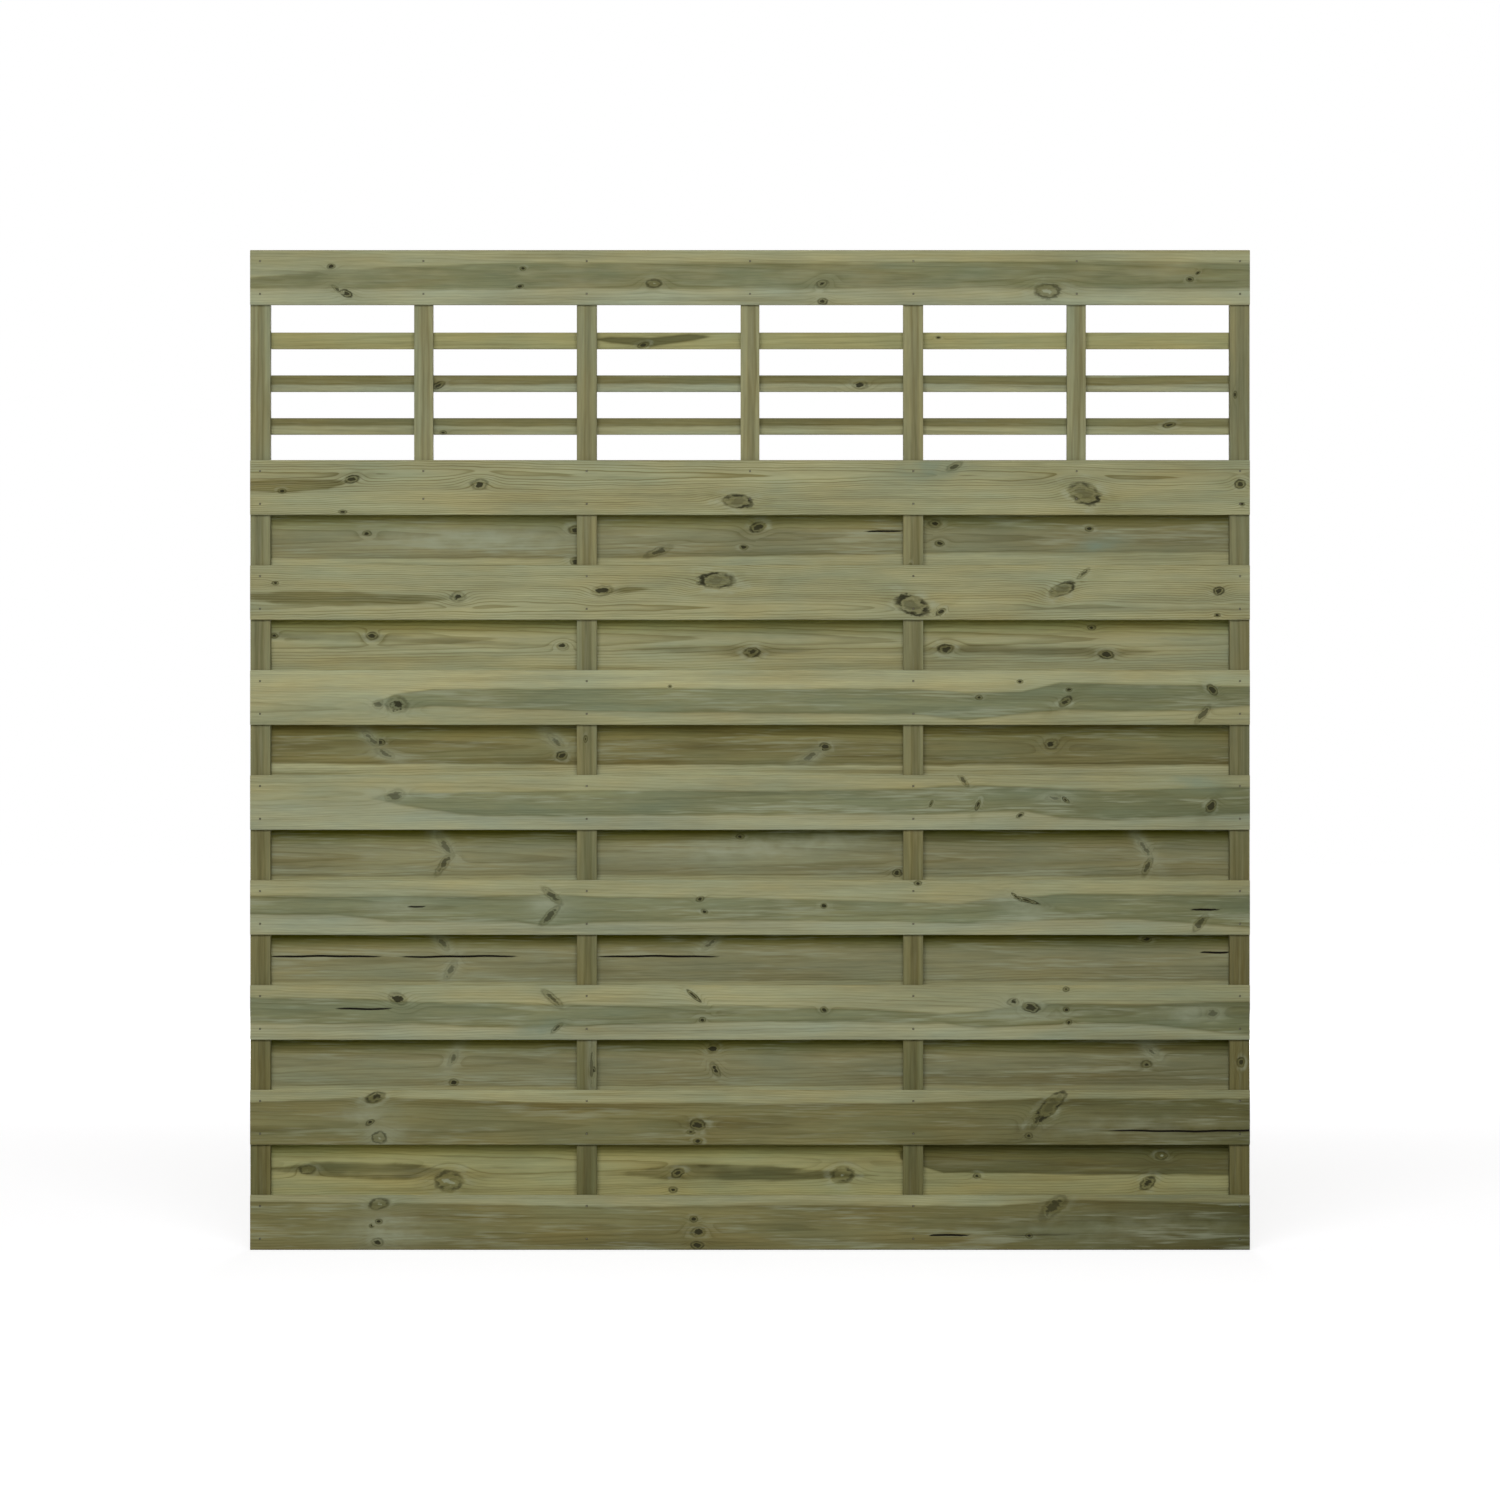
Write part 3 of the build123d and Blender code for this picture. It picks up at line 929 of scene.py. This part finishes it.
def paint_knots(pine, n, wood, reach):
    """The wood with its knots and stains drawn over it, and painted shade in its cracks and pits."""
    spread_out = 0.75 + n.patchy * 0.9 + n.streak * 0.6
    wood = pine.math("MAXIMUM", n.stain * spread_out, 0.0).mix(wood, STAIN_COLOUR)
    wood = pine.math("MAXIMUM", n.stain * spread_out * -1, 0.0).mix(wood, BLEACH_COLOUR)
    smudge = n.smudge * (0.40 + n.patchy * 0.6 + n.streak * 0.6)
    wood = pine.math("MAXIMUM", smudge, 0.0).mix(wood, SMUDGE_SHADE, "MULTIPLY")
    frayed = reach + n.ragged * 0.42 + n.patchy * 0.30
    inside = 1 - frayed.step(*FILL_EDGE)
    body = inside * n.fill * (0.62 + n.ragged * 0.5)
    wood = body.mix(wood, FILL_COLOUR)
    kept = (n.patchy + n.ragged * 0.5).step(*RIM_KEPT)
    outline = frayed.step(*RIM_START) * (1 - frayed.step(*RIM_END)) * n.rim * kept
    fringe = frayed.step(*FRINGE_START) * (1 - frayed.step(*FRINGE_END)) * n.rim
    fringe = fringe * n.clear.step(*FRINGE_CLEAR)
    fringe = pine.math("MAXIMUM", fringe * (0.12 - n.patchy * 0.9 + n.streak * 0.5), 0.0)
    wood = fringe.mix(wood, BLEACH_COLOUR)
    wood = (outline * 0.92).mix(wood, RIM_COLOUR)
    splinter = reach + n.ragged * 0.75 + n.patchy * 0.3
    dark_middle = (1 - splinter.step(*CORE_EDGE)) * pine.math("MAXIMUM", n.core, 0.0) * 0.95
    wood = dark_middle.mix(wood, RIM_COLOUR)
    pale_middle = (1 - splinter.step(*PALE_EDGE)) * pine.math("MAXIMUM", n.core * -1, 0.0)
    wood = pale_middle.mix(wood, BLEACH_COLOUR)
    wood = n.end_grain.mix(wood, END_SHADE, "MULTIPLY")
    # Painted shade in the cracks and pits.
    return n.groove.step(*GROOVE_EDGE).mix(wood, GROOVE_SHADE_COLOUR), outline, inside


# %% Put the wood together
def make_pine(name):
    """Green pressure-treated pine that reads the notes of each plank."""
    material, pine = start_material(name)
    n = read_notes(pine)
    reach = knot_distance(pine, n)
    late = growth_rings(pine, n, reach)
    wood = body_colour(pine, n, late)
    wood, outline, inside = paint_knots(pine, n, wood, reach)
    height = late * n.rings * 0.12 + n.fibre * 0.08 + n.streak * 0.06 - outline * 0.25 + inside * 0.08
    bump = pine.node("ShaderNodeBump", {"Strength": 0.55, "Distance": MM, "Height": height})
    roughness = 0.82 + n.streak * 0.07 + n.fibre * 0.05 - inside * n.rim * 0.12
    surface = pine.node("ShaderNodeBsdfPrincipled", {
        "Base Color": wood, "Roughness": roughness, "Normal": bump, "Specular IOR Level": 0.08,
    })
    pine.node("ShaderNodeOutputMaterial", {"Surface": surface})
    print(name, "has", len(pine.tree.nodes), "nodes")
    return material


treated_pine = make_pine("treated_pine")

# %% [markdown]
# ## Dress every plank
#
# Each wooden CAD piece is now replaced by its plank. The brads of the front boards go in from the
# front, those of the back boards and slats from the back, so each plank is told which face has
# the pits. Painted shade darkens the uprights towards the ground, where the light falls off, and
# the boards towards their right ends, the lower front boards most. Painted shade, warm and brown,
# also lies along the upper edge of each back board, under the lap of the board in front of it.

# %% Replace the CAD pieces by planks
FRAME_ROUND = 1 * MM
SLAT_ROUND = 1.5 * MM
# Painted shade: the uprights darken towards the ground, where the light falls off.
UPRIGHT_PAINTED_SHADE = ((0.52, 0.49, 0.34), PLAIN)
# The back boards: painted shade, lighter at the left end and darker at the right.
BACK_PAINTED_SHADE = ((1.06, 1.06, 1.06), (0.90, 0.90, 0.90))

planks = {}
for number, (node, notes) in enumerate(front_notes.items()):
    planks[node] = make_plank(node, notes, number, outer=-1)
for number, (node, notes) in enumerate(back_notes.items(), start=20):
    planks[node] = make_plank(node, notes, number, outer=1, tone=BACK_PAINTED_SHADE)
for number, (node, notes) in enumerate(slat_notes.items(), start=40):
    planks[node] = make_plank(node, notes, number, radius=SLAT_ROUND, outer=1)
for number, (node, notes) in enumerate(frame_notes.items(), start=60):
    tone = UPRIGHT_PAINTED_SHADE if node in uprights else (PLAIN, PLAIN)
    planks[node] = make_plank(node, notes, number, upright=True, radius=FRAME_ROUND, tone=tone)
for node, plank in planks.items():
    plank.data.materials.append(treated_pine)
    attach(plank, "root")
    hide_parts(node)
triangles = sum(len(polygon.vertices) - 2 for p in planks.values() for polygon in p.data.polygons)
print(len(planks), "planks with", triangles, "triangles")

# %% [markdown]
# ## The brads
#
# A brad is a square steel pin with a small bevelled head. All of them are alike, so Geometry Nodes
# set one on each point of a small mesh. The tree ends by making the copies real, because an
# exported model keeps no instances.

# %% Dull steel for the brads
STEEL_COLOUR = colour(96, 93, 76)
RUST_COLOUR = colour(84, 68, 46)
RUST_SCALE = 900


def make_steel(name):
    """Dark steel with specks of rust."""
    material, steel = start_material(name)
    place = steel.node("ShaderNodeTexCoord", output="Object")
    rust = stretched_noise(place, RUST_SCALE, RUST_SCALE).step(-0.1, 0.5)
    skin = rust.mix(STEEL_COLOUR, RUST_COLOUR)
    surface = steel.node("ShaderNodeBsdfPrincipled", {
        "Base Color": skin, "Metallic": 0.7 - rust * 0.6, "Roughness": 0.45 + rust * 0.4,
    })
    steel.node("ShaderNodeOutputMaterial", {"Surface": surface})
    return material


brad_steel = make_steel("brad_steel")

# %% Build the tree that sets a brad on every point
BRAD_SIDE = 2.5 * MM
BRAD_LENGTH = 27 * MM
HEAD_BEVEL = 0.3 * MM
BRAD_SINK = 1 * MM


def brad_tree():
    """Geometry nodes that put a bevelled square brad on each point, with its head outwards."""
    tree = bpy.data.node_groups.new("brads", "GeometryNodeTree")
    sockets = (("Points", "NodeSocketGeometry"), ("Side", "NodeSocketFloat"),
               ("Length", "NodeSocketFloat"), ("Bevel", "NodeSocketFloat"),
               ("Turn", "NodeSocketFloat"), ("Material", "NodeSocketMaterial"))
    for name, kind in sockets:
        tree.interface.new_socket(name, in_out="INPUT", socket_type=kind)
    tree.interface.new_socket("Brads", in_out="OUTPUT", socket_type="NodeSocketGeometry")
    wire = Wire(tree)
    given = tree.nodes.new("NodeGroupInput")
    points, side, length, bevel, turn, metal = (Wire(tree, given.outputs[n]) for n in range(6))
    shank_length = length - bevel
    size = wire.node("ShaderNodeCombineXYZ", {"X": side, "Y": side, "Z": shank_length})
    shank = wire.node("GeometryNodeMeshCube", {"Size": size})
    low = wire.node("ShaderNodeCombineXYZ", {"Z": 0 - bevel - shank_length / 2})
    lowered = wire.node("GeometryNodeTransform", {"Geometry": shank, "Translation": low})
    upward = parts_of(wire.node("GeometryNodeInputNormal"))[2]
    top = wire.math("GREATER_THAN", upward, 0.5)
    raised = wire.node("GeometryNodeExtrudeMesh", {
        "Mesh": lowered, "Selection": top, "Offset Scale": bevel}, mode="FACES")
    head = Wire(tree, raised.socket.node.outputs["Top"])
    tapered = wire.node("GeometryNodeScaleElements", {
        "Geometry": raised, "Selection": head, "Scale": 1 - bevel * 2 / side}, domain="FACE")
    facing = wire.node("ShaderNodeCombineXYZ", {"X": turn})
    turned = wire.node("GeometryNodeTransform", {"Geometry": tapered, "Rotation": facing})
    spots = wire.node("GeometryNodeMeshToPoints", {"Mesh": points})
    copies = wire.node("GeometryNodeInstanceOnPoints", {"Points": spots, "Instance": turned})
    real = wire.node("GeometryNodeRealizeInstances", {"Geometry": copies})
    dressed = wire.node("GeometryNodeSetMaterial", {"Geometry": real, "Material": metal})
    wire.node("NodeGroupOutput", {0: dressed})
    return tree


brads_on_points = brad_tree()
print("brad tree has", len(brads_on_points.nodes), "nodes")


# %% Set the brads in each kind of board
def make_brads(node, boards, outer):
    """The brads of one kind of board, in the place of a CAD node."""
    face = [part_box(board)[0 if outer < 0 else 1].y - outer * BRAD_SINK for board in boards]
    heads = [(x, y, z) for board, y in zip(boards, face) for x, z in brads[board]]
    points = bpy.data.meshes.new(node + "_points")
    points.from_pydata(heads, [], [])
    holder = add_object(node + "_points", points)
    modifier = holder.modifiers.new("brads", "NODES")
    modifier.node_group = brads_on_points
    values = {"Side": BRAD_SIDE, "Length": BRAD_LENGTH, "Bevel": HEAD_BEVEL,
              "Turn": -outer * math.pi / 2, "Material": brad_steel}
    for item in brads_on_points.interface.items_tree:
        if item.name in values:
            modifier[item.identifier] = values[item.name]
    graph = bpy.context.evaluated_depsgraph_get()
    mesh = bpy.data.meshes.new_from_object(holder.evaluated_get(graph))
    bpy.data.objects.remove(holder)
    piece = add_object(node + "_steel", mesh)
    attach(piece, "root")
    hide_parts(node)
    print(node, len(heads), "brads,", len(mesh.polygons), "faces")


make_brads("front_board_brads", list(front_notes), -1)
make_brads("back_board_brads", list(back_notes), 1)
make_brads("slat_brads", list(slat_notes), 1)

# %% [markdown]
# ## Floor, sky and light
#
# The photograph was cut out on white, and its light is that of an overcast day: so soft that the
# shade under each front board fades away over a finger's breadth. A very large lamp stands in
# front, only a little above the panel, and a dim, warm sky fills the shadows. Weaker lamps behind
# and at both ends show the other sides, and stand so low that they hardly light the floor. Each
# lamp has a turn round the panel and a rise in degrees, a size and a power. The camera sees the
# sky as white. The floor gets a glow that only the camera and reflections see: it lifts lit paper
# to white, and it is weaker near the panel, so that the panel's soft shadow still shows there.

# %% A pale floor that looks white
FLOOR_HALF = 40.0
PAPER_GREY = (0.6, 0.6, 0.6, 1)
NEAR_GLOW = (0.66, 0.66, 0.675, 1)
FAR_GLOW = (0.93, 0.93, 0.965, 1)
GLOW_REACH = (4.5, 10.0)


def seen_directly(wire):
    """1 for rays of the camera, of reflections and of glass, 0 for those that light the scene."""
    rays = wire.node("ShaderNodeLightPath").socket.node.outputs
    camera_ray, glossy, glass = (
        Wire(wire.tree, rays[name]) for name in ("Is Camera Ray", "Is Glossy Ray", "Is Transmission Ray"))
    return wire.math("MAXIMUM", wire.math("MAXIMUM", camera_ray, glossy), glass)


def make_floor_paper(name):
    """Pale paper that glows only for rays that see it directly."""
    material, paper = start_material(name)
    matt = paper.node("ShaderNodeBsdfDiffuse", {"Color": PAPER_GREY})
    place = paper.node("ShaderNodeTexCoord", output="Object")
    away = paper.node("ShaderNodeVectorMath", {0: place}, "Value", operation="LENGTH")
    glow_colour = away.step(*GLOW_REACH).mix(NEAR_GLOW, FAR_GLOW)
    glow = paper.node("ShaderNodeEmission", {"Color": glow_colour, "Strength": 1.0})
    both = paper.node("ShaderNodeAddShader", {0: matt, 1: glow})
    surface = paper.node("ShaderNodeMixShader", {0: seen_directly(paper), 1: matt, 2: both})
    paper.node("ShaderNodeOutputMaterial", {"Surface": surface})
    return material


floor_mesh = bpy.data.meshes.new("floor")
floor_corners = [(x * FLOOR_HALF, y * FLOOR_HALF, cad_low.z) for x, y in ((-1, -1), (1, -1), (1, 1), (-1, 1))]
floor_mesh.from_pydata(floor_corners, [], [(0, 1, 2, 3)])
floor_mesh.materials.append(make_floor_paper("floor_paper"))
floor = add_object("floor", floor_mesh)

# %% An overcast sky
SKY_HIGH = 0.15
SKY_LOW = 0.03
SKY_COLOUR = (1.0, 0.92, 0.50, 1)

world = bpy.data.worlds.new("overcast")
world.use_nodes = True
world.node_tree.nodes.clear()
sky = Wire(world.node_tree)
direction = sky.node("ShaderNodeTexCoord", output="Generated")
rise = parts_of(direction)[2].step(-0.1, 0.9)
strength = SKY_LOW + rise * (SKY_HIGH - SKY_LOW)
light = sky.node("ShaderNodeBackground", {"Color": SKY_COLOUR, "Strength": strength})
white = sky.node("ShaderNodeBackground", {"Color": (1, 1, 1, 1), "Strength": 1.0})
mixed = sky.node("ShaderNodeMixShader", {0: seen_directly(sky), 1: light, 2: white})
sky.node("ShaderNodeOutputWorld", {"Surface": mixed})
bpy.context.scene.world = world

# %% The lamps
LAMP_DISTANCE = 11.0
LAMP_COLOUR = (0.98, 0.99, 1.06)
LAMPS = {
    "front_lamp": (-2, 19, 6.4, 1040),
    "back_lamp": (178, 5, 2.0, 620),
    "left_lamp": (-90, 5, 2.0, 350),
    "right_lamp": (90, 5, 2.0, 350),
}

for name, (turn, rise, size, power) in LAMPS.items():
    lamp_data = bpy.data.lights.new(name, "AREA")
    lamp_data.shape = "DISK"
    lamp_data.size = size
    lamp_data.energy = power
    lamp_data.color = LAMP_COLOUR
    lamp = add_object(name, lamp_data)
    lamp.visible_camera = False
    heading = math.radians(turn)
    away = LAMP_DISTANCE * math.cos(math.radians(rise))
    height = middle_height + LAMP_DISTANCE * math.sin(math.radians(rise))
    lamp.location = (away * math.sin(heading), -away * math.cos(heading), height)
    lamp.rotation_euler = (math.pi / 2 - math.radians(rise), 0, heading)
    print(name, "at", [round(value, 2) for value in lamp.location])
bpy.context.scene.view_settings.view_transform = "Standard"
